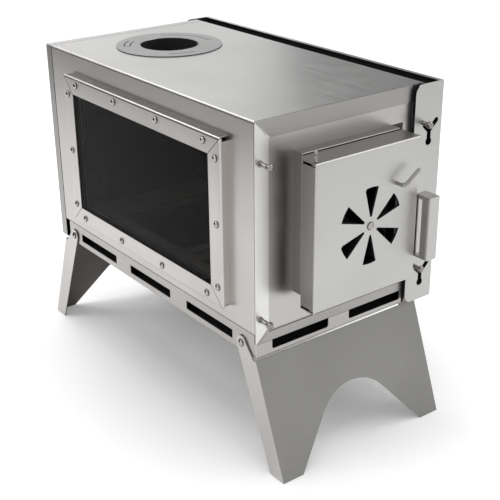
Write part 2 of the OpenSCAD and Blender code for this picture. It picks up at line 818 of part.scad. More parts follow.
// One folded leg, splayed about its pivot and cut level with the ground
module leg() difference() {
  translate([leg_x, 0, leg_z]) rotate([0, -leg_splay, 0]) difference() {
    union() {
      block([leg_off, -leg_y - leg_t, -leg_len - over], [leg_off + leg_t, leg_y + leg_t, -leg_top]);
      for (y0 = [-leg_y - leg_t, leg_y]) along_y(y0, y0 + leg_t) leg_side();
    }
    bar_y(0, -leg_y - leg_t - over, leg_y + leg_t + over, 0, leg_pin_r + fit);
    translate([0, 0, -leg_len]) along_x(leg_off - over, leg_off + leg_t + over) leg_arch();
  }
  block([0, -side_y - guard_off, -leg_len], [2 * end_x, side_y + guard_off, 0]);
}

// The outline of a leg's side in X and Z, from the ear down to the foot
module leg_side() {
  foot_z = -leg_len - over;
  face_x = leg_off + leg_t;
  shoulder = leg_ear_r * sin(45);
  circle(leg_ear_r);
  polygon([[-leg_ear_r, 0], [face_x - leg_foot_w, foot_z], [face_x, foot_z],
    [face_x, -leg_top], [face_x - leg_t - bend_r, -leg_top], [shoulder, shoulder]]);
}

// The arch between a leg's two feet, in Y and in height above the ground along the plate
module leg_arch() {
  meet = [arch_r * cos(arch_turn), arch_c + arch_r * sin(arch_turn)];
  intersection() {
    translate([0, arch_c]) circle(arch_r);
    translate([-arch_half, meet.y]) square([2 * arch_half, arch_h]);
  }
  polygon([[-arch_half, -2 * over], [arch_half, -2 * over], [arch_half, 0], meet,
    [-meet.x, meet.y], [-arch_half, 0]]);
}

module leg_rivets() color("#dcdcda") in_frame() {
  for (x = [-leg_x, leg_x], side = [0, 1]) mirror([0, side, 0]) {
    head = leg_y + leg_t + fit;
    bar_y(x, side_y - sheet_t - leg_tail_h, head, leg_z, leg_pin_r);
    translate([x, head, leg_z]) rotate([-90, 0, 0]) dome(leg_head_r, leg_head_h);
  }
}

module leg_rivet_tails() color("#b9b9b7") in_frame() {
  for (x = [-leg_x, leg_x], side = [0, 1]) mirror([0, side, 0]) difference() {
    y1 = side_y - sheet_t;
    bar_y(x, y1 - leg_tail_h, y1, leg_z, leg_tail_r);
    bar_y(x, y1 - leg_tail_h - over, y1 + over, leg_z, leg_pin_r);
  }
}

module door_collar() color("#b4b2b0") in_frame() difference() {
  union() {
    difference() {
      rounded_front([panel_x, collar_lo, collar_z], [collar_front, collar_hi, collar_top], bend_r);
      rounded_front([panel_x - over, collar_lo + sheet_t, collar_z + sheet_t],
        [collar_front - sheet_t, collar_hi - sheet_t, collar_top - sheet_t], bend_r - sheet_t);
      block([panel_x - over, collar_lo + lip_w, collar_z + lip_w],
        [collar_front + over, collar_hi - lip_w, collar_top - lip_w]);
    }
    for (z0 = [ear_low_z, ear_top_z]) along_z(z0, z0 + sheet_t) hinge_ear();
    block([ear_root_x, ear_root[0], ear_low_z],
      [collar_front + sheet_t, ear_root[1], collar_z + lip_w]);
  }
  bar_z(pin_x, pin_y, ear_low_z - over, ear_top_z + sheet_t + over, pin_r + fit);
}

// A hinge ear in X and Y, from the collar's lip out to the pin
module hinge_ear() {
  translate([pin_x, pin_y]) circle(ear_r);
  polygon([[ear_root_x, ear_root[0]], [ear_root_x, ear_root[1]],
    [pin_x, pin_y + ear_r], [pin_x, pin_y - ear_r]]);
}

module hinge_pin() color("#dcdcda") in_frame() translate([pin_x, pin_y, 0]) {
  head_z = door_top + pin_head_h;
  bar_z(0, 0, door_z - slip, head_z - pin_ball_r, pin_r);
  bar_z(0, 0, door_z - slip - pin_foot, door_z - slip, pin_foot_r);
  bar_z(0, 0, door_top + pin_ring_z, door_top + pin_ring_z + pin_ring_h, pin_ring_r);
  translate([0, 0, head_z - pin_ball_r]) sphere(pin_ball_r);
}

// The door pan's outer form, shrunk by an inset
module door_form(inset) {
  rounded_front([door_rear - over, door_lo + inset, door_z + inset],
    [door_front - inset, door_hi - inset, door_top - inset], bend_r - inset);
}

module door_pan() color("#bebdbb") in_frame() difference() {
  door_form(0);
  door_form(sheet_t);
  block([door_rear - 2 * over, door_lo - over, door_z - over],
    [door_rear, door_hi + over, door_top + over]);
  hinge_side_cuts();
  bar_z(pin_x, pin_y, door_z - over, door_top + over, pin_r + fit);
  translate([0, collar_y, damper_z]) along_x(plate_x - over, door_front + over) damper_windows();
  bar_x(plate_x - over, door_front + over, collar_y, damper_z, damper_pin_r + fit);
  bar_x(plate_x - over, door_front + over, latch_y, latch_z, wire_r + fit);
  for (k = grip_rivet_z_shares)
    bar_y((grip_front - grip_out - grip_lap + plate_x) / 2, door_hi - sheet_t - over,
      door_hi + over, grip_z + k * grip_h, grip_rivet_r);
}

// The chamfer and the two slits that let the hinge side swing past the ears
module hinge_side_cuts() {
  back_x = door_front - hinge_flange_d;
  along_z(door_z - over, door_top + over) polygon([
    [back_x, door_lo], [back_x, door_lo - over], [door_rear - over, door_lo - over],
    [door_rear - over, door_lo + hinge_chamfer], [door_rear, door_lo + hinge_chamfer]]);
  slit = 2 * ear_slip + sheet_t;
  for (z0 = [door_z + sheet_t, door_top - sheet_t - slit])
    block([door_rear - over, door_lo - over, z0], [plate_x - slip, door_lo + bend_r, z0 + slit]);
}

// The wedge windows of the damper in Y and Z, about its axis
module damper_windows() intersection() {
  circle(petal_out);
  for (k = [0 : petals - 1]) rotate(90 + k * 360 / petals) polygon([
    [petal_in, -petal_tip], [petal_in, petal_tip],
    [petal_out, petal_out * tan(petal_half)], [petal_out, -petal_out * tan(petal_half)]]);
}

module damper_disc() color("#a9a7a4") in_frame() translate([0, collar_y, damper_z]) {
  along_x(disc_x, disc_x + sheet_t) difference() {
    circle(disc_r);
    difference() {
      damper_windows();
      for (turn = [90 + petal_half, 210 - petal_half])
        rotate(turn) translate([petal_out, 0]) circle(lug_r);
    }
    circle(damper_pin_r + fit);
  }
}

module damper_screw() color("#dcdcda") in_frame() translate([0, collar_y, damper_z]) {
  translate([door_front, 0, 0]) rotate([0, 90, 0]) dome(damper_head_r, damper_head_h);
  bar_x(disc_x - slip - damper_nut_h - seam, door_front, 0, 0, damper_pin_r);
}

module damper_nut() color("#b9b9b7") in_frame() {
  nut_x(disc_x - slip - damper_nut_h, collar_y, damper_z, damper_nut_r, damper_nut_h, damper_pin_r);
}

module latch_lever() color("#d8d8d6") in_frame()
  translate([0, latch_y, latch_z]) rotate([wire_angle, 0, 0]) {
    bar_x(cam_x - seam, wire_x - wire_bend, 0, 0, wire_r);
    translate([wire_x - wire_bend, wire_bend, 0]) rotate([0, 0, -90])
      rotate_extrude(angle = 90) translate([wire_bend, 0]) circle(wire_r);
    bar_y(wire_x, wire_bend, wire_arm, 0, wire_r);
    translate([wire_x, wire_arm, 0]) sphere(wire_r);
  }

module latch_bush() color("#c9b27a") in_frame() difference() {
  bar_x(plate_x - bush_l, plate_x, latch_y, latch_z, bush_r);
  bar_x(plate_x - bush_l - over, plate_x + over, latch_y, latch_z, wire_r + fit);
}

module latch_clip() color("#9c9a97") in_frame() difference() {
  x1 = plate_x - bush_l - slip;
  bar_x(x1 - clip_t, x1, latch_y, latch_z, clip_r);
  bar_x(x1 - clip_t - over, x1 + over, latch_y, latch_z, wire_r);
}

// The latch cam, which stands up when it is open and turns behind the collar's far lip
module latch_cam() color("#b4b2b0") in_frame() translate([0, latch_y, latch_z]) difference() {
  along_x(cam_x, cam_x + cam_t) {
    circle(cam_w / 2);
    translate([-cam_w / 2, 0]) square([cam_w, cam_reach - cam_w / 2]);
    translate([0, cam_reach - cam_w / 2]) circle(cam_w / 2);
  }
  bar_x(cam_x - over, cam_x + cam_t + over, 0, 0, wire_r);
}

module door_handle() color("#bfbebc") in_frame() difference() {
  back_x = door_front - grip_lap;
  tab_x = grip_front - grip_tab_d;
  handle_form(0);
  handle_form(sheet_t);
  block([back_x - 2 * over, grip_y + sheet_t, grip_z - over],
    [tab_x, grip_y + grip_flange + 2 * over, grip_top + over]);
  block([back_x - 2 * over, grip_y - over, grip_z - over],
    [back_x, grip_y + sheet_t + over, grip_top + over]);
  block([back_x, grip_y + grip_flange, grip_z - over],
    [grip_front + over, grip_y + grip_flange + 2 * over, grip_top + over]);
  block([grip_gap_x, grip_y - over, grip_z + grip_margin],
    [grip_front - grip_bar, grip_y + sheet_t + over, grip_top - grip_margin]);
  for (k = grip_rivet_z_shares)
    bar_y((back_x + plate_x) / 2, grip_y - over, grip_y + sheet_t + over, grip_z + k * grip_h,
      grip_rivet_r);
}

// The handle's form, open away from the door, with its folded edges rounded, shrunk by an inset
module handle_form(inset) {
  lo = [door_front - grip_lap - over - inset, grip_y + inset, grip_z + inset];
  hi = [grip_front - inset, grip_y + grip_flange + over + inset, grip_top - inset];
  r = bend_r - inset;
  intersection() {
    along_z(lo.z, hi.z) rounded([lo.x, lo.y], [hi.x, hi.y], r, [0, 1, 0, 0]);
    along_x(lo.x, hi.x) rounded([lo.y, lo.z], [hi.y, hi.z], r, [1, 0, 0, 1]);
  }
}

module handle_rivets() color("#dcdcda") in_frame() {
  x = (door_front - grip_lap + plate_x) / 2;
  for (k = grip_rivet_z_shares) {
    z = grip_z + k * grip_h;
    outer = grip_y + sheet_t;
    bar_y(x, door_hi - sheet_t, outer, z, grip_rivet_r);
    translate([x, outer, z]) rotate([-90, 0, 0]) dome(grip_rivet_head_r, grip_rivet_head_h);
    bar_y(x, door_hi - sheet_t - rivet_tail, door_hi - sheet_t, z, grip_rivet_head_r);
  }
}

shell();
door_end_frame();
door_end_panel();
rear_cover();
floor_plate();
fire_grate();
base_frame();
flue_ring();
flue_socket();
door_collar();
hinge_pin();
near_glass();
near_gasket();
near_bezel_top();
near_bezel_bottom();
near_bezel_front();
near_bezel_rear();
near_rivets();
far_glass();
far_gasket();
far_bezel_top();
far_bezel_bottom();
far_bezel_front();
far_bezel_rear();
far_rivets();
guard_posts();
guard_post_nuts();
guard_panel();
door_leg();
rear_leg();
leg_rivets();
leg_rivet_tails();
door_pan();
door_handle();
handle_rivets();
damper_disc();
damper_screw();
damper_nut();
latch_lever();
latch_bush();
latch_clip();
latch_cam();
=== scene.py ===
"""The looks of a camping wood stove in folded stainless sheet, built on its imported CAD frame."""
import json
import math

import bmesh
import bpy
from mathutils import Matrix, Vector


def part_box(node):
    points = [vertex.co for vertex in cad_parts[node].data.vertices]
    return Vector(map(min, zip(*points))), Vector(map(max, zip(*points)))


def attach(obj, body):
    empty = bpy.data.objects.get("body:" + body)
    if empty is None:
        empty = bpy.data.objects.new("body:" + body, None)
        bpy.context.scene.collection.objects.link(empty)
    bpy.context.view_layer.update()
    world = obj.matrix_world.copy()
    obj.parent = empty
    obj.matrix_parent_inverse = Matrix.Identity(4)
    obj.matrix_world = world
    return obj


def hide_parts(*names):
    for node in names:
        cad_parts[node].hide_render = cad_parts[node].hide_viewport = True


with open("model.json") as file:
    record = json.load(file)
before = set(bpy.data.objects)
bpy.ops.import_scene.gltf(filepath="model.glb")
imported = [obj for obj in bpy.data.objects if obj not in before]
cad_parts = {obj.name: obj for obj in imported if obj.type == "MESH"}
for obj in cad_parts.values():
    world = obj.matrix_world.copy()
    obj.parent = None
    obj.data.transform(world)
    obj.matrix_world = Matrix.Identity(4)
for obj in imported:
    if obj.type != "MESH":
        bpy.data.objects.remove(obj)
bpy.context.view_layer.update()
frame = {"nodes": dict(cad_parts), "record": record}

MM = 0.001
body_of_node = {node: body for body, nodes in frame["record"]["behaviour"]["bodies"].items()
                for node in nodes}


# Small helpers

def linear(code):
    """An sRGB hex colour as linear red, green, blue and alpha."""
    parts = [int(code[k:k + 2], 16) / 255 for k in (1, 3, 5)]
    return [c / 12.92 if c <= 0.04045 else ((c + 0.055) / 1.055) ** 2.4 for c in parts] + [1.0]


def add_node(tree, kind, values=None, links=None, **settings):
    """Adds a node with its settings, its sockets' values and its links. A link comes from an output
    socket, or from a node's first output in use."""
    node = tree.nodes.new(kind)
    for name, value in settings.items():
        setattr(node, name, value)
    for socket, value in (values or {}).items():
        node.inputs[socket].default_value = value
    for socket, source in (links or {}).items():
        if isinstance(source, bpy.types.Node):
            source = next(output for output in source.outputs if output.enabled)
        tree.links.new(source, node.inputs[socket])
    return node


def new_material(name):
    """A node material with nothing but its output, its tree and that output's surface."""
    material = bpy.data.materials.new(name)
    material.use_nodes = True
    tree = material.node_tree
    tree.nodes.clear()
    return material, tree, add_node(tree, "ShaderNodeOutputMaterial").inputs["Surface"]


def middle(node):
    """The middle of a CAD node's box."""
    lo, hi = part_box(node)
    return (lo + hi) / 2


def activate(piece):
    """Selects one piece alone and makes it the active one."""
    bpy.ops.object.select_all(action="DESELECT")
    piece.select_set(True)
    bpy.context.view_layer.objects.active = piece


def apply_modifier(piece, kind, **settings):
    """Adds a modifier with its settings and applies it."""
    modifier = piece.modifiers.new(kind.lower(), kind)
    for name, value in settings.items():
        setattr(modifier, name, value)
    activate(piece)
    bpy.ops.object.modifier_apply(modifier=modifier.name)


def smooth(piece, angle):
    """Shades a piece smooth, with edges over the angle in degrees left sharp."""
    activate(piece)
    bpy.ops.object.shade_smooth_by_angle(angle=math.radians(angle))


# Materials

GRAIN = 2.0       # brushed grain is about 0.1 mm wide, drawn at this width in mm so that it shows
GRAIN_RUN = 70    # how many grain widths one brush mark is long
SMUDGE = 38       # width in mm of the faint marks of handling
WAVE = 120        # width in mm of the sheet's slow changes of tone
GRIT = 1.6        # width in mm of the oxide's grit, drawn coarser than the real 0.2 mm
BLOOM = 26        # width in mm of the oxide's patches
KNIT = 1.5        # width in mm of a stitch of the glass-fibre gasket
TOOL = 1.1        # width in mm of a turned piece's tool marks, drawn coarser than the real 0.1 mm
FILM = 60         # width in mm of the patches of smoke on the glass
CLOUD = 1000 / 3  # width in mm of the floor's faint changes of tone


def satin_sheet(name, tone, tint, roughness, along):
    """Cold-rolled stainless sheet with a satin brushed face: a soft, slightly uneven sheen with
    fine marks along the brushing."""
    material, tree, surface = new_material(name)
    place = add_node(tree, "ShaderNodeTexCoord").outputs["Object"]
    across = 1 / (GRAIN * MM)
    scale = [across / GRAIN_RUN if axis == along else across for axis in "XYZ"]
    brushed = add_node(tree, "ShaderNodeMapping", {"Scale": scale}, {"Vector": place})
    grain = add_node(tree, "ShaderNodeTexNoise", {"Scale": 1.0, "Detail": 3.0, "Roughness": 0.6},
                     {"Vector": brushed})
    smudge = add_node(tree, "ShaderNodeTexNoise",
                      {"Scale": 1 / (SMUDGE * MM), "Detail": 4.0, "Roughness": 0.55, "Distortion": 0.4},
                      {"Vector": place})
    wave = add_node(tree, "ShaderNodeTexNoise", {"Scale": 1 / (WAVE * MM), "Detail": 1.0},
                    {"Vector": place})
    streaks = add_node(tree, "ShaderNodeMapRange",
                       {"From Min": 0.3, "From Max": 0.7,
                        "To Min": roughness - 0.03, "To Max": roughness + 0.03}, {"Value": grain})
    marks = add_node(tree, "ShaderNodeMapRange",
                     {"From Min": 0.3, "From Max": 0.7, "To Min": -0.015, "To Max": 0.02},
                     {"Value": smudge})
    rough = add_node(tree, "ShaderNodeMath", None, {0: streaks, 1: marks}, operation="ADD")
    share = add_node(tree, "ShaderNodeMapRange", {"From Min": 0.35, "From Max": 0.65}, {"Value": wave})
    colour = add_node(tree, "ShaderNodeMix", {"A": linear(tone), "B": linear(tint)}, {"Factor": share},
                      data_type="RGBA")
    bump = add_node(tree, "ShaderNodeBump", {"Strength": 0.04, "Distance": 0.02 * MM}, {"Height": grain})
    shader = add_node(tree, "ShaderNodeBsdfPrincipled", {"Metallic": 1.0},
                      {"Base Color": colour, "Roughness": rough, "Normal": bump})
    tree.links.new(shader.outputs["BSDF"], surface)
    return material


def turned_bar(name, tone, shade, roughness):
    """Bar turned on a lathe or headed cold, then tumbled bright: mirror-like, with fine tool
    marks."""
    material, tree, surface = new_material(name)
    place = add_node(tree, "ShaderNodeTexCoord").outputs["Object"]
    marks = add_node(tree, "ShaderNodeTexNoise", {"Scale": 1 / (TOOL * MM), "Detail": 2.0},
                     {"Vector": place})
    share = add_node(tree, "ShaderNodeMapRange", {"From Min": 0.45, "From Max": 0.8, "To Max": 0.35},
                     {"Value": marks})
    colour = add_node(tree, "ShaderNodeMix", {"A": linear(tone), "B": linear(shade)}, {"Factor": share},
                      data_type="RGBA")
    rough = add_node(tree, "ShaderNodeMapRange",
                     {"To Min": roughness - 0.04, "To Max": roughness + 0.06}, {"Value": marks})
    shader = add_node(tree, "ShaderNodeBsdfPrincipled", {"Metallic": 1.0},
                      {"Base Color": colour, "Roughness": rough})
    tree.links.new(shader.outputs["BSDF"], surface)
    return material


def fired_sheet(name, tone, tint, roughness, metallic):
    """Stainless sheet dulled by fire and smoke: a dark, uneven oxide that hardly shines. In its near-black
    and dark tones it also serves as painted shade.
    """
    material, tree, surface = new_material(name)
    place = add_node(tree, "ShaderNodeTexCoord").outputs["Object"]
    bloom = add_node(tree, "ShaderNodeTexNoise",
                     {"Scale": 1 / (BLOOM * MM), "Detail": 6.0, "Roughness": 0.6}, {"Vector": place})
    grit = add_node(tree, "ShaderNodeTexNoise", {"Scale": 1 / (GRIT * MM), "Detail": 2.0},
                    {"Vector": place})
    share = add_node(tree, "ShaderNodeMapRange", {"From Min": 0.35, "From Max": 0.7}, {"Value": bloom})
    colour = add_node(tree, "ShaderNodeMix", {"A": linear(tone), "B": linear(tint)}, {"Factor": share},
                      data_type="RGBA")
    rough = add_node(tree, "ShaderNodeMapRange",
                     {"To Min": roughness - 0.08, "To Max": roughness + 0.08}, {"Value": grit})
    bump = add_node(tree, "ShaderNodeBump", {"Strength": 0.25, "Distance": 0.05 * MM}, {"Height": grit})
    shader = add_node(tree, "ShaderNodeBsdfPrincipled", {"Metallic": metallic},
                      {"Base Color": colour, "Roughness": rough, "Normal": bump})
    tree.links.new(shader.outputs["BSDF"], surface)
    return material


def ceramic_glass(name, tone, tint):
    """Polished glass-ceramic stove pane: tinted dark, clear, with a faint film of smoke. Its IOR is
    lower than real glass-ceramic's, so that the white studio hardly shows in it."""
    material, tree, surface = new_material(name)
    place = add_node(tree, "ShaderNodeTexCoord").outputs["Object"]
    film = add_node(tree, "ShaderNodeTexNoise", {"Scale": 1 / (FILM * MM), "Detail": 3.0},
                    {"Vector": place})
    colour = add_node(tree, "ShaderNodeMix", {"A": linear(tone), "B": linear(tint)}, {"Factor": film},
                      data_type="RGBA")
    rough = add_node(tree, "ShaderNodeMapRange", {"To Max": 0.05}, {"Value": film})
    shader = add_node(tree, "ShaderNodeBsdfPrincipled", {"Transmission Weight": 1.0, "IOR": 1.08},
                      {"Base Color": colour, "Roughness": rough})
    tree.links.new(shader.outputs["BSDF"], surface)
    return material


def fibre_cord(name, tone, tint):
    """Knitted glass-fibre gasket: matt and dark, with a fuzzy knit."""
    material, tree, surface = new_material(name)
    place = add_node(tree, "ShaderNodeTexCoord").outputs["Object"]
    knit = add_node(tree, "ShaderNodeTexVoronoi", {"Scale": 1 / (KNIT * MM)}, {"Vector": place})
    colour = add_node(tree, "ShaderNodeMix", {"A": linear(tone), "B": linear(tint)}, {"Factor": knit},
                      data_type="RGBA")
    bump = add_node(tree, "ShaderNodeBump", {"Strength": 0.8, "Distance": 0.4 * MM}, {"Height": knit})
    shader = add_node(tree, "ShaderNodeBsdfPrincipled", {"Roughness": 0.95},
                      {"Base Color": colour, "Normal": bump})
    tree.links.new(shader.outputs["BSDF"], surface)
    return material


def backdrop_share(tree, in_metal=1.0):
    """1 for what the camera sees, directly or through glass, 0 for plain light, and a share of its
    own for what metal shows."""
    path = add_node(tree, "ShaderNodeLightPath").outputs
    metal = add_node(tree, "ShaderNodeMath", {1: in_metal}, {0: path["Is Glossy Ray"]},
                     operation="MULTIPLY")
    first = add_node(tree, "ShaderNodeMath", None, {0: path["Is Camera Ray"], 1: metal},
                     operation="MAXIMUM")
    return add_node(tree, "ShaderNodeMath", None, {0: first, 1: path["Is Transmission Ray"]},
                    operation="MAXIMUM")


def studio_floor(name, tone, tint, near, far):
    """Matt white studio floor: it keeps the shadows near the stove, and its glow is turned down near the
    stove as a painted shadow;
    further away it shows white to the camera and in the metal."""
    material, tree, surface = new_material(name)
    place = add_node(tree, "ShaderNodeTexCoord").outputs["Object"]
    start, end, in_metal = 0.1, 0.5, 0.45   # where its glow grows, in metres, and its share in metal
    cloud = add_node(tree, "ShaderNodeTexNoise", {"Scale": 1 / (CLOUD * MM)}, {"Vector": place})
    colour = add_node(tree, "ShaderNodeMix", {"A": linear(tone), "B": linear(tint)}, {"Factor": cloud},
                      data_type="RGBA")
    diffuse = add_node(tree, "ShaderNodeBsdfDiffuse", None, {"Color": colour})
    away = add_node(tree, "ShaderNodeVectorMath", None, {0: place}, operation="LENGTH")
    # The glow is low near the stove and rises further away: a painted shadow round the stove
    glow_with_painted_shadow = add_node(tree, "ShaderNodeMapRange",
                    {"From Min": start, "From Max": end, "To Min": near, "To Max": far},
                    {"Value": away})
    light = add_node(tree, "ShaderNodeEmission", None, {"Color": colour, "Strength": glow_with_painted_shadow})
    dark = add_node(tree, "ShaderNodeEmission", {"Strength": 0.0})
    share = backdrop_share(tree, in_metal)
    shown = add_node(tree, "ShaderNodeMixShader", None, {0: share, 1: dark, 2: light})
    both = add_node(tree, "ShaderNodeAddShader", None, {0: diffuse, 1: shown})
    tree.links.new(both.outputs["Shader"], surface)
    return material


def grey_card(name, tone):
    """Even grey studio card that only the metal sees, as the darker parts of a room do."""
    material, tree, surface = new_material(name)
    light = add_node(tree, "ShaderNodeEmission", {"Color": linear(tone), "Strength": 1.0})
    tree.links.new(light.outputs["Emission"], surface)
    return material


# Each finish's material: its name, its tones, and a metal's roughness. A satin sheet's last value is
# the axis along which it is brushed, and a fired sheet's is how metallic it still is. The floor's last
# two are how brightly it shows near the stove and further away; the low near value paints a shadow round
# the stove.
MATERIALS = {
    "side": satin_sheet("satin_stainless_side", "#c2bfbc", "#c8c5c3", 0.32, "X"),
    # The shell's top is painted a tone of its own, a little darker than the sides, for how the light falls
    # on it
    "top": satin_sheet("satin_stainless_top_painted_light", "#bcbbba", "#c3c2c1", 0.36, "X"),
    "ring": satin_sheet("satin_stainless_ring", "#8d8c8b", "#949392", 0.3, "X"),
    "end": satin_sheet("satin_stainless_end", "#bdbbb8", "#c3c1bf", 0.34, "Y"),
    # The end frame's uprights are painted much lighter, as lit, and its level strips and the rear cover's
    # side darker, as shade
    "upright": satin_sheet("satin_stainless_upright_painted_light", "#dfdedc", "#e4e3e1", 0.34, "Z"),
    "level": satin_sheet("satin_stainless_level_painted_shade", "#a3a19f", "#aaa8a6", 0.36, "Y"),
    "bezel": satin_sheet("satin_stainless_bezel", "#c4c0bd", "#cbc7c4", 0.3, "X"),
    "stile": satin_sheet("satin_stainless_stile", "#c4c0bd", "#cbc7c4", 0.3, "Z"),
    "base": satin_sheet("satin_stainless_base", "#b3b0ad", "#b9b6b4", 0.34, "X"),
    "door": satin_sheet("satin_stainless_door", "#bebdbb", "#c3c2c0", 0.38, "Y"),
    # The door's flanges and the handle's brushed faces are painted darker, as shade
    "flange": satin_sheet("satin_stainless_flange_painted_shade", "#8d8a87", "#94918e", 0.34, "Z"),
    # The collar is painted darker than the door, as shade round the fire mouth
    "collar": satin_sheet("satin_stainless_collar_painted_shade", "#807d7a", "#878481", 0.36, "Y"),
    # The legs' plates are painted darker, as shade, and their inner faces darker still
    "leg": satin_sheet("satin_stainless_leg_painted_shade", "#8a8986", "#908f8c", 0.44, "Y"),
    "shaded": satin_sheet("painted_shade_stainless_leg_inside", "#6b6764", "#726e6b", 0.5, "Y"),
    "inside": fired_sheet("fired_stainless_inside", "#6b6763", "#78726b", 0.6, 0.3),
    # Near-black painted shade, on hollows, gaps and the backs of parts where shade falls
    "black_shade": fired_sheet("painted_shade_black_stainless", "#0b0a0a", "#121110", 0.9, 0.0),
    # Dark oxide of cut edges, also painted as shade on the rims of heads and in the band beside the collar
    "cut": fired_sheet("oxidised_edge_and_painted_shade_stainless", "#3f3d3b", "#4b4845", 0.6, 0.3),
    "bright": turned_bar("bright_turned_stainless", "#b0aeab", "#8f8c89", 0.16),
    # Posts, hinge pin and latch lever take a darker copy of the bright turned finish, painted as shade
    "post": turned_bar("turned_stainless_post_painted_shade", "#94928f", "#7b7875", 0.2),
    "brass": turned_bar("turned_brass", "#c9a867", "#a98a4f", 0.25),
    "glass": ceramic_glass("dark_ceramic_glass", "#b5b4b3", "#bdbcbb"),
    "gasket": fibre_cord("glass_fibre_gasket", "#262422", "#3a3734"),
    "floor": studio_floor("painted_white_floor", "#f7f7f7", "#fcfcfc", 0.08, 0.42),
    "mid_card": grey_card("grey_card_stock", "#5e5e5e"),
    "dark_card": grey_card("dark_card_stock", "#1f1e1e"),
}
# The record's material slot of each finish
SLOTS = dict.fromkeys(MATERIALS, "satin_stainless") | {
    "leg": "leg_stainless", "inside": "heat_dulled_stainless", "black_shade": "heat_dulled_stainless",
    "bright": "bright_stainless", "post": "bright_stainless", "brass": "brass_bush",
    "glass": "ceramic_glass", "gasket": "fibre_gasket"}


# How pieces are made

SAME = 1e-6         # corners of a CAD mesh that lie closer than this in metres are one corner
FLAT = 0.5          # faces that lean less than this in degrees from each other are one flat face
SHARP = 40          # a folded or spun piece's edges over this angle in degrees are sharp
TURNED_SHARP = 35   # the same angle of a turned piece
HEADED_SHARP = 50   # the same angle of a rivet or a screw
TIP = 0.06          # radius in mm of the little flat that closes a dome or a ball
LEAN = 0.5          # a face looks along an axis where its normal reaches this far along it
DARK_RIM = 0.62     # the part of a head that looks less far along its axis than this is painted dark, as shade and dark reflection
MITRE = 0.3         # a mitre's cut looks further than this along both axes of the strips it joins
WALL = 0.9          # a face this deep in mm under its piece's box is on the sheet's inner side


def settle(piece, node, finish):
    """Gives a piece its finish and lets it stand for its CAD node, on that node's body."""
    piece.data.materials.clear()
    piece.data.materials.append(MATERIALS[finish])
    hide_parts(node)
    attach(piece, body_of_node[node])
    return piece


def finished(node, finish, edge=0.2, cuts=()):
    """A folded or sheared piece from its CAD node, with its sharp edges broken by a small bevel in mm.
    Cuts are planes, each a point and a normal, that part its flat faces for two finishes."""
    piece = bpy.data.objects.new(node + "_finished", frame["nodes"][node].data.copy())
    bpy.context.scene.collection.objects.link(piece)
    activate(piece)
    bpy.ops.object.mode_set(mode="EDIT")
    bpy.ops.mesh.select_all(action="SELECT")
    bpy.ops.mesh.remove_doubles(threshold=SAME)
    bpy.ops.mesh.dissolve_limited(angle_limit=math.radians(FLAT))
    for point, normal in cuts:
        bpy.ops.mesh.select_all(action="SELECT")
        bpy.ops.mesh.bisect(plane_co=point, plane_no=normal)
    bpy.ops.object.mode_set(mode="OBJECT")
    if edge:
        apply_modifier(piece, "BEVEL", width=edge * MM, segments=2, limit_method="ANGLE",
                       angle_limit=math.radians(SHARP), miter_outer="MITER_ARC")
    smooth(piece, SHARP)
    apply_modifier(piece, "WEIGHTED_NORMAL", keep_sharp=True)
    return settle(piece, node, finish)


def repaint(piece, finish, test):
    """Gives the faces that pass the test another finish. The test takes a face's centre c and its
    normal n."""
    piece.data.materials.append(MATERIALS[finish])
    for face in piece.data.polygons:
        if test(face.center, face.normal):
            face.material_index = len(piece.data.materials) - 1


def under(node, sides, depth=WALL):
    """A test that a face lies deeper than a depth in mm under the sides of a node's box that are
    named, such as "-x +z"."""
    lo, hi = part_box(node)
    ends = [(side[0], "xyz".index(side[1])) for side in sides.split()]

    def test(c, n):
        return all((c[k] - lo[k] if end == "-" else hi[k] - c[k]) > depth * MM for end, k in ends)
    return test


def boxes(node):
    """The box of each separate solid of a CAD node, as its low and high corners."""
    mesh = bmesh.new()
    mesh.from_mesh(frame["nodes"][node].data)
    bmesh.ops.remove_doubles(mesh, verts=mesh.verts, dist=SAME)
    found, left = [], set(mesh.verts)
    while left:
        heap = [left.pop()]
        lo, hi = Vector(heap[0].co), Vector(heap[0].co)
        while heap:
            vert = heap.pop()
            lo, hi = Vector(map(min, lo, vert.co)), Vector(map(max, hi, vert.co))
            linked = {edge.other_vert(vert) for edge in vert.link_edges} & left
            left -= linked
            heap += linked
        found.append((lo, hi))
    mesh.free()
    return sorted(found, key=lambda box: tuple(box[0]))


def turned(name, profile, sides=28, hollow=False):
    """A piece turned about +Z from (radius, height) pairs in mm, from its foot to its head. A
    hollow one's profile goes round and ends where it starts."""
    bpy.ops.object.select_all(action="DESELECT")
    radius, height = profile[0]
    bpy.ops.mesh.primitive_circle_add(vertices=sides, radius=radius * MM,
                                      fill_type="NOTHING" if hollow else "NGON")
    piece = bpy.context.object
    piece.name = name
    bpy.ops.object.mode_set(mode="EDIT")
    bpy.ops.mesh.select_all(action="SELECT")
    bpy.ops.transform.translate(value=(0, 0, height * MM))
    for r, z in profile[1:]:
        bpy.ops.mesh.extrude_region_move(TRANSFORM_OT_translate={"value": (0, 0, (z - height) * MM)})
        bpy.ops.transform.resize(value=(r / radius, r / radius, 1), center_override=(0, 0, z * MM))
        radius, height = r, z
    bpy.ops.mesh.select_all(action="SELECT")
    bpy.ops.mesh.remove_doubles(threshold=SAME)
    bpy.ops.mesh.normals_make_consistent(inside=False)
    bpy.ops.object.mode_set(mode="OBJECT")
    return piece


def repeated(pattern, places):
    """Copies of a pattern piece at each place, joined into one piece. The pattern goes."""
    name, copies = pattern.name, []
    for place in places:
        copy = pattern.copy()
        copy.data = pattern.data.copy()
        copy.data.transform(place)
        bpy.context.scene.collection.objects.link(copy)
        copies.append(copy)
    bpy.data.objects.remove(pattern)
    activate(copies[0])
    for copy in copies:
        copy.select_set(True)
    if len(copies) > 1:
        bpy.ops.object.join()
    joined = bpy.context.view_layer.objects.active
    joined.name = name
    return joined


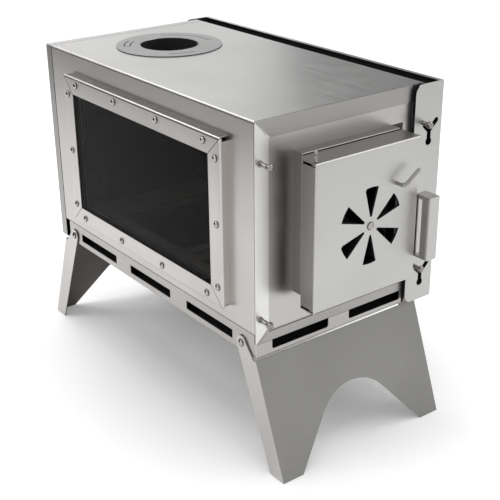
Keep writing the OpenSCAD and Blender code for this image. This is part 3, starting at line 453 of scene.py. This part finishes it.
def facing(direction, at):
    """The place matrix that turns +Z towards a direction and moves the origin to a point."""
    turn = Vector((0, 0, 1)).rotation_difference(Vector(direction))
    return Matrix.Translation(at) @ turn.to_matrix().to_4x4()


def dome(radius, height, steps=7, brim=0.25):
    """The profile in mm of a domed head on a thin brim, from its rim to its crown."""
    cap = (radius ** 2 + (height - brim) ** 2) / (2 * (height - brim))
    top = math.asin(radius / cap)
    turns = [top * (1 - k / steps) for k in range(steps)]
    return [(radius, 0.0)] + [(cap * math.sin(a), height - cap + cap * math.cos(a)) for a in turns] + [
        (TIP, height)]


def ball(radius, start, steps=12):
    """The profile in mm of a ball with its tip at 0, from a polar angle in degrees to the tip."""
    turns = [math.radians(start * (1 - k / steps)) for k in range(steps)]
    return [(radius * math.sin(a), radius * math.cos(a) - radius) for a in turns] + [(TIP, 0.0)]


def headed(node, axis, head, shank):
    """The rivets or screws of a node that point along an axis: each has its head outwards, on a
    face one head's height inside the solid's box, and a shank profile that starts at its end."""
    height, k, places = head[-1][1], "xyz".index(axis), []
    for lo, hi in boxes(node):
        out = 1 if lo[k] + hi[k] > 0 else -1
        depth = (hi[k] - lo[k]) / MM - height
        at = (lo + hi) / 2
        at[k] = (hi[k] if out > 0 else lo[k]) - out * height * MM
        direction = [0, 0, 0]
        direction[k] = out
        places.append(facing(direction, at))
    profile = [(r, z - depth) for r, z in shank] + [(shank[-1][0], 0.0)] + head
    piece = repeated(turned(node + "_headed", profile), places)
    smooth(piece, HEADED_SHARP)
    settle(piece, node, "bright")
    # The rim of each head is painted dark, as shade and dark reflection
    repaint(piece, "cut", lambda c, n: abs(n[k]) < DARK_RIM)


# Turned and headed pieces

def window_rivets(side):
    """Domed rivets with a shank through the bezel's space and a tail inside the shell."""
    shank_r, tail_r, tail = 1.6, 3.0, 0.8
    headed(f"{side}_rivets", "y", dome(radius=4.0, height=2.5),
           [(tail_r, 0.0), (tail_r, tail), (shank_r, tail)])


def leg_rivets():
    """The domed rivets that the legs turn on."""
    end_r, shank_r, edge = 2.4, 2.5, 0.2
    headed("leg_rivets", "y", dome(radius=4.3, height=2.6), [(end_r, 0.0), (shank_r, edge)])


def damper_screw():
    """The domed screw that the damper disc turns on."""
    end_r, shank_r, edge = 1.8, 2.0, 0.3
    headed("damper_screw", "x", dome(radius=4.5, height=2.8), [(end_r, 0.0), (shank_r, edge)])


def handle_rivets():
    """The low rivets that hold the door's handle, each with a tail behind the sheet."""
    shank_r, tail_r, tail, edge = 1.5, 3.0, 0.8, 0.2
    headed("handle_rivets", "y", dome(radius=3.0, height=1.2),
           [(tail_r - edge, 0.0), (tail_r, edge), (tail_r, tail), (shank_r, tail)])


def guard_posts():
    """Posts with a threaded shank, a shoulder that bears on the end sheet, a rod and a ball. Their
    heights count from the ball's tip."""
    ball_r, ball_from = 3.8, 148
    end_r, shank_r, rod_r, neck_r = 1.6, 1.8, 2.4, 2.0
    shoulder_r, thick, edge, face = 3.4, 1.5, 0.3, 18.8
    rod_end, neck_start, neck_end = -9.4, -8.8, -7.2
    shoulder = [(shoulder_r, -face), (shoulder_r, thick - edge - face),
                (shoulder_r - edge, thick - face), (rod_r, thick - face)]
    neck = [(rod_r, rod_end), (neck_r, neck_start), (neck_r, neck_end)]
    parts = []
    for out in (-1, 1):
        ends = [(lo, hi) for lo, hi in boxes("guard_posts") if out * lo.x > 0]
        length = (ends[0][1].x - ends[0][0].x) / MM
        shank = [(end_r, -length), (shank_r, edge - length), (shank_r, -face)]
        profile = shank + shoulder + neck + ball(ball_r, ball_from)
        places = [facing((out, 0, 0), (hi.x if out > 0 else lo.x, (lo.y + hi.y) / 2, (lo.z + hi.z) / 2))
                  for lo, hi in ends]
        parts.append(repeated(turned("guard_posts_turned", profile), places))
    activate(parts[0])
    parts[1].select_set(True)
    bpy.ops.object.join()
    smooth(parts[0], TURNED_SHARP)
    settle(parts[0], "guard_posts", "post")


def hinge_pin():
    """The hinge pin: a foot, the shank, a ring and a ball-shaped head."""
    lo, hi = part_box("hinge_pin")
    tall = (hi.z - lo.z) / MM
    pin_r, neck_r, ball_r, ball_from = 1.8, 1.4, 2.2, 140
    foot_r, foot_top, foot_edge = 2.8, 1.3, 0.3
    rim_r, ring_r, ring_bottom, ring_top = 2.55, 2.7, tall - 7.0, tall - 5.8
    neck, edge = tall - 4.2, 0.2
    foot = [(foot_r - foot_edge, 0), (foot_r, foot_edge), (foot_r, foot_top), (pin_r, foot_top + edge)]
    ring = [(pin_r, ring_bottom), (rim_r, ring_bottom), (ring_r, ring_bottom + edge),
            (ring_r, ring_top - edge), (rim_r, ring_top), (pin_r, ring_top), (neck_r, neck)]
    head = [(r, z + tall) for r, z in ball(ball_r, ball_from)]
    at = ((lo.x + hi.x) / 2, (lo.y + hi.y) / 2, lo.z)
    piece = repeated(turned("hinge_pin_turned", foot + ring + head), [Matrix.Translation(at)])
    smooth(piece, TURNED_SHARP)
    settle(piece, "hinge_pin", "post")


def flue_socket():
    """A spun tube, flush with the ring plate at its mouth, with a flange under the top."""
    lo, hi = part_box("flue_socket")
    tall = (hi.z - lo.z) / MM
    bore, outer, flange, sheet, ring = 34.0, 35.2, 43.2, 1.2, 1.0
    lip, edge, slack = 0.3, 0.2, 0.1
    seat = tall - ring - sheet
    mouth = [(bore, 0.0), (bore, tall - lip), (bore + lip, tall), (outer - edge, tall),
             (outer, tall - edge)]
    below = [(outer, seat), (flange, seat), (flange, seat - sheet), (outer, seat - sheet),
             (outer, 0.0), (bore, 0.0)]
    at = ((lo.x + hi.x) / 2, (lo.y + hi.y) / 2, lo.z)
    tube = turned("flue_socket_spun", mouth + below, sides=96, hollow=True)
    piece = repeated(tube, [Matrix.Translation(at)])
    smooth(piece, SHARP)
    settle(piece, "flue_socket", "inside")
    # The bore is painted black as shade; the rim takes the ring plate's finish
    repaint(piece, "black_shade", lambda c, n: math.hypot(c.x - at[0], c.y - at[1]) < (bore + slack) * MM)
    repaint(piece, "ring", lambda c, n: n.z > LEAN and c.z > hi.z - (lip + edge) * MM)


# Sheet pieces

LINE = 3.6                   # width in mm of the line painted black as shade under the guard's free edge
SEAM = 0.8                   # width in mm of the shell's edge painted black along the rear cover, as the shade in the seam
RING_RIM = 5                 # how far in mm the round painted black as shade under the ring plate is inside its edge
RING_CUTS = 12               # how many cuts part that round from the shell's top
BAND = 16                    # width in mm of the band painted dark as shade on the end panel beside the collar
LUG_REACH = 40.8             # how far in mm the damper's lugs are from its axis
LUG = 3.4                    # half a lug's width in mm
LUG_TURNS = (102.7, 197.3)   # the turns in degrees at which the lugs stand, from +Y towards +Z


def shell():
    """The folded body: top and sides satin, the top painted a tone of its own for how the light falls on
    it, fired inside, its rear edge painted black as the shade in the seam along the cover, and painted
    black as shade under the ring plate, where the ring's slits show it."""
    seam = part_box("shell")[0].x + SEAM * MM
    axis = middle("flue_ring")
    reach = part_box("flue_ring")[1].x - axis.x - RING_RIM * MM
    turns = [math.tau * k / RING_CUTS for k in range(RING_CUTS)]
    cuts = [((axis.x + reach * math.cos(a), axis.y + reach * math.sin(a), 0), (math.cos(a), math.sin(a), 0))
            for a in turns]
    upper = 0.7   # the top looks further up than this
    piece = finished("shell", "side", cuts=cuts + [((seam, 0, 0), (1, 0, 0))])
    repaint(piece, "black_shade", lambda c, n: (n.x < -LEAN or abs(n.y) > LEAN) and c.x < seam)
    repaint(piece, "top", lambda c, n: n.z > upper)
    repaint(piece, "black_shade", lambda c, n: n.z > upper and all(
        (c.x - axis.x) * math.cos(a) + (c.y - axis.y) * math.sin(a) < reach for a in turns))
    repaint(piece, "inside", under("shell", "-y +y +z"))


def guard_line():
    """The two cuts beside the line painted as shade under the guard's free edge on the door end."""
    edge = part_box("guard_panel")[0].y
    return [((0, edge, 0), (0, 1, 0)), ((0, edge + LINE * MM, 0), (0, 1, 0))]


def painted_shade_line(piece):
    """Paints the front of a piece black under the guard's free edge, as the shade in the gap behind it."""
    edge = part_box("guard_panel")[0].y
    repaint(piece, "black_shade", lambda c, n: n.x > LEAN and edge < c.y < edge + LINE * MM)


def end_frame():
    """The end frame: its level strips brushed one way and painted darker as shade, its uprights the other
    and painted lighter as lit, saw lines dark but for those at the frame's outer edge, and a line painted
    black as shade under the guard's free edge."""
    lo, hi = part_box("door_end_frame")
    margin = 3 * MM
    corners = ((lo.y, lo.z, -1), (lo.y, hi.z, 1), (hi.y, lo.z, 1), (hi.y, hi.z, -1))
    mitres = [((0, y, z), (0, 1, slope)) for y, z, slope in corners]
    piece = finished("door_end_frame", "level", cuts=mitres + guard_line())
    repaint(piece, "upright", lambda c, n: min(c.y - lo.y, hi.y - c.y) < min(c.z - lo.z, hi.z - c.z))
    repaint(piece, "cut", lambda c, n: abs(n.y) > MITRE and abs(n.z) > MITRE and abs(n.x) < MITRE
            and lo.y + margin < c.y < hi.y - margin)
    painted_shade_line(piece)


def end_panel():
    """The panel behind the end frame, fired on its inner face, with a band painted dark as shade beside the
    collar, where the door's windows show it, and a line painted black as shade under the guard's free edge."""
    lo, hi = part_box("door_collar")
    band = hi.y + BAND * MM
    cuts = [((0, y, 0), (0, 1, 0)) for y in (hi.y, band)] + [((0, 0, z), (0, 0, 1)) for z in (lo.z, hi.z)]
    piece = finished("door_end_panel", "end", cuts=cuts + guard_line())
    repaint(piece, "inside", lambda c, n: n.x < -LEAN)
    repaint(piece, "cut", lambda c, n: n.x > LEAN and hi.y < c.y < band and lo.z < c.z < hi.z)
    painted_shade_line(piece)


def rear_cover():
    """The folded cover of the rear end, its -Y side painted darker as shade, and painted black as shade
    inside.
    """
    piece = finished("rear_cover", "end")
    inner = under("rear_cover", "-x -y +y -z +z")
    repaint(piece, "level", lambda c, n: n.y < -LEAN)
    repaint(piece, "black_shade", lambda c, n: n.x > LEAN or inner(c, n))


def base_frame():
    """The base under the firebox, painted black as shade inside its air slots and along the guard's free
    edge.
    """
    piece = finished("base_frame", "base", cuts=guard_line())
    painted_shade_line(piece)
    repaint(piece, "black_shade", under("base_frame", "-x +x -y +y -z"))


def guard_panel():
    """The hung side guard, painted black as shade on the faces towards the stove."""
    piece = finished("guard_panel", "door")
    inner = under("guard_panel", "-x +x +y -z +z")
    repaint(piece, "black_shade", lambda c, n: n.y < -LEAN or inner(c, n))


def flue_ring():
    """The ring plate, its rim and the walls of its slits in the dark finish of oxidised cut edges, which
    also paints the shade in the slits.
    """
    piece = finished("flue_ring", "ring", edge=0.1)
    upright = 0.4   # the rim and the slits' walls look less far up or down than this
    repaint(piece, "cut", lambda c, n: abs(n.z) < upright)


def leg(node):
    """A folded leg: its matt plate painted darker as shade, its inner face darker still as shade, and its
    satin side flanges painted lighter, as lit.
    """
    piece = finished(node, "leg")
    inward = 1 if node == "rear_leg" else -1
    repaint(piece, "shaded", lambda c, n: n.x * inward > LEAN)
    repaint(piece, "side", lambda c, n: abs(n.y) > LEAN)


def door_pan():
    """The door, with its flanges brushed along their length and painted darker as shade. Its inner faces
    and the edges of its windows are painted black as shade."""
    piece = finished("door_pan", "door")
    back, window = under("door_pan", "+x"), under("door_pan", "-y +y -z +z", depth=3 * WALL)
    repaint(piece, "flange", lambda c, n: n.x < LEAN)
    repaint(piece, "black_shade", lambda c, n: (back(c, n) or abs(n.x) < LEAN) and window(c, n))
    repaint(piece, "black_shade", under("door_pan", "+x -y +y -z +z"))


def door_collar():
    """The collar round the mouth, its satin painted darker as shade, and painted black inside as shade."""
    piece = finished("door_collar", "collar")
    axis = middle("damper_disc").y
    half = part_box("door_collar")[1].y - axis - WALL * MM
    level = under("door_collar", "-z +z")
    repaint(piece, "black_shade", lambda c, n: abs(c.y - axis) < half and level(c, n))


def damper_disc():
    """The damper disc, painted black as shade but for the two lugs that show in the door's windows."""
    axis, reach, half = middle("damper_disc"), LUG_REACH * MM, LUG * MM
    turns = [math.radians(turn) for turn in LUG_TURNS]
    lugs = [(axis.y + reach * math.cos(a), axis.z + reach * math.sin(a)) for a in turns]
    cuts = [((0, y + k * half, z + k * half), normal) for y, z in lugs for k in (-1, 1)
            for normal in ((0, 1, 0), (0, 0, 1))]
    piece = finished("damper_disc", "black_shade", edge=0.0, cuts=cuts)
    repaint(piece, "door", lambda c, n: n.x > LEAN
            and any(abs(c.y - y) < half and abs(c.z - z) < half for y, z in lugs))


def bezel(side, out):
    """The four mitred strips round one window, each brushed along its length, painted black as shade behind
    and along their mitres."""
    centre = middle(f"{side}_glass")
    for strip in ("top", "bottom", "front", "rear"):
        node = f"{side}_bezel_{strip}"
        level = strip in ("top", "bottom")
        piece = finished(node, "bezel" if level else "stile", edge=0.15)
        deep = under(node, "-y" if out < 0 else "+y", depth=1.0)

        def dark(c, n):
            inward = (centre.z - c.z) * n.z if level else (centre.x - c.x) * n.x
            mitre = abs(n.x) > MITRE and abs(n.z) > MITRE
            return mitre or n.y * out < -LEAN or (deep(c, n) and inward > 0 and abs(n.y) < LEAN)
        repaint(piece, "black_shade", dark)


def door_handle():
    """The folded handle, its faces brushed along its length painted darker as shade."""
    piece = finished("door_handle", "door")
    repaint(piece, "flange", lambda c, n: n.y < -LEAN)


# The stove, piece by piece

for side in ("near", "far"):
    window_rivets(side)
guard_posts()
leg_rivets()
hinge_pin()
damper_screw()
handle_rivets()
flue_socket()
shell()
end_frame()
end_panel()
rear_cover()
base_frame()
guard_panel()
flue_ring()
door_pan()
door_collar()
damper_disc()
door_handle()
for node in ("door_leg", "rear_leg"):
    leg(node)
for side, out in (("near", -1), ("far", 1)):
    bezel(side, out)
    finished(f"{side}_glass", "glass", edge=0.3)
    finished(f"{side}_gasket", "gasket", edge=0.0)
for node, finish in (("latch_cam", "inside"), ("fire_grate", "inside"), ("floor_plate", "inside"),
                     ("guard_post_nuts", "bright"), ("damper_nut", "bright"), ("leg_rivet_tails", "bright"),
                     ("latch_bush", "brass"), ("latch_clip", "bright"), ("latch_lever", "post")):
    finished(node, finish)


# Stage, light and camera

MIDDLE = (0, 0, 0.25)                    # the place in metres that three of the lamps face
EYE = (0.90410, -0.66011, 0.64553)       # the photo camera's place in metres
TURN, TILT, ROLL = 52.90, 24.15, -0.55   # its angle from -Y towards +X, its angle up, and its roll
LENS, SENSOR = 74.0, 36.0                # its focal length and its sensor's width in mm


def card(name, at, towards, size, material, camera=True):
    """A flat card that faces a point. One that the camera doesn't see shows in the metal alone."""
    bpy.ops.object.select_all(action="DESELECT")
    bpy.ops.mesh.primitive_plane_add(size=1)
    piece = bpy.context.object
    piece.name = name
    turn = (Vector(towards) - Vector(at)).to_track_quat("Z", "Y").to_matrix().to_4x4()
    piece.data.transform(Matrix.Translation(at) @ turn @ Matrix.Diagonal((*size, 1, 1)))
    piece.data.materials.append(material)
    if not camera:
        piece.visible_camera = piece.visible_diffuse = piece.visible_shadow = False


def softbox(name, at, towards, size, power, in_metal=True):
    """A soft studio lamp that faces a point. One that isn't seen in metal lights only what is matt."""
    lamp = bpy.data.lights.new(name, "AREA")
    lamp.shape = "RECTANGLE"
    lamp.size, lamp.size_y = size
    lamp.energy = power
    holder = bpy.data.objects.new(name, lamp)
    holder.location = at
    holder.rotation_mode = "QUATERNION"
    holder.rotation_quaternion = (Vector(towards) - Vector(at)).to_track_quat("-Z", "Y")
    holder.visible_glossy = in_metal
    bpy.context.scene.collection.objects.link(holder)


def studio_world():
    """The white room: soft light from all round, and plain white where the camera, the glass or the
    metal shows it."""
    world = bpy.data.worlds.new("studio")
    bpy.context.scene.world = world
    world.use_nodes = True
    tree = world.node_tree
    tree.nodes.clear()
    ambient = add_node(tree, "ShaderNodeBackground", {"Color": linear("#f4f5f6"), "Strength": 0.5})
    backdrop = add_node(tree, "ShaderNodeBackground", {"Color": linear("#ffffff"), "Strength": 1.0})
    mixed = add_node(tree, "ShaderNodeMixShader", None,
                     {0: backdrop_share(tree), 1: ambient, 2: backdrop})
    add_node(tree, "ShaderNodeOutputWorld", None, {"Surface": mixed})


def photo_camera():
    """The camera that took the photo, as fitted to the photo's straight edges."""
    turn, tilt, roll = map(math.radians, (TURN, TILT, ROLL))
    back = Vector((math.sin(turn) * math.cos(tilt), -math.cos(turn) * math.cos(tilt), math.sin(tilt)))
    level = Vector((math.cos(turn), math.sin(turn), 0))
    right = math.cos(roll) * level + math.sin(roll) * back.cross(level)
    up = back.cross(right)
    lens = bpy.data.cameras.new("photo_camera")
    lens.lens, lens.sensor_width = LENS, SENSOR
    camera = bpy.data.objects.new("photo_camera", lens)
    bpy.context.scene.collection.objects.link(camera)
    camera.matrix_world = Matrix.Translation(EYE) @ Matrix((right, up, back)).transposed().to_4x4()
    bpy.context.scene.camera = camera
    bpy.context.scene.view_settings.view_transform = "Standard"


card("studio_floor", at=(0, 0, 0), towards=(0, 0, 1), size=(14, 14), material=MATERIALS["floor"])
studio_world()
card("rear_card", at=(-0.85, 1.36, 0.7), towards=(0, 0, 0.7), size=(0.95, 1.3),
     material=MATERIALS["mid_card"], camera=False)
card("left_card", at=(-1.0, -0.76, 0.45), towards=(-1.0, 0, 0.45), size=(1.8, 0.88),
     material=MATERIALS["dark_card"], camera=False)
softbox("front_softbox", at=(-0.6, -1.4, 1.6), towards=MIDDLE, size=(0.7, 0.7), power=7)
softbox("overhead_softbox", at=(0, 0, 2.4), towards=(0, 0, 0), size=(2.0, 2.0), power=26, in_metal=False)
softbox("left_softbox", at=(-1.5, 0.1, 1.7), towards=MIDDLE, size=(0.8, 0.8), power=6)
softbox("rear_softbox", at=(0.3, 1.4, 2.1), towards=MIDDLE, size=(0.9, 0.7), power=6)
photo_camera()
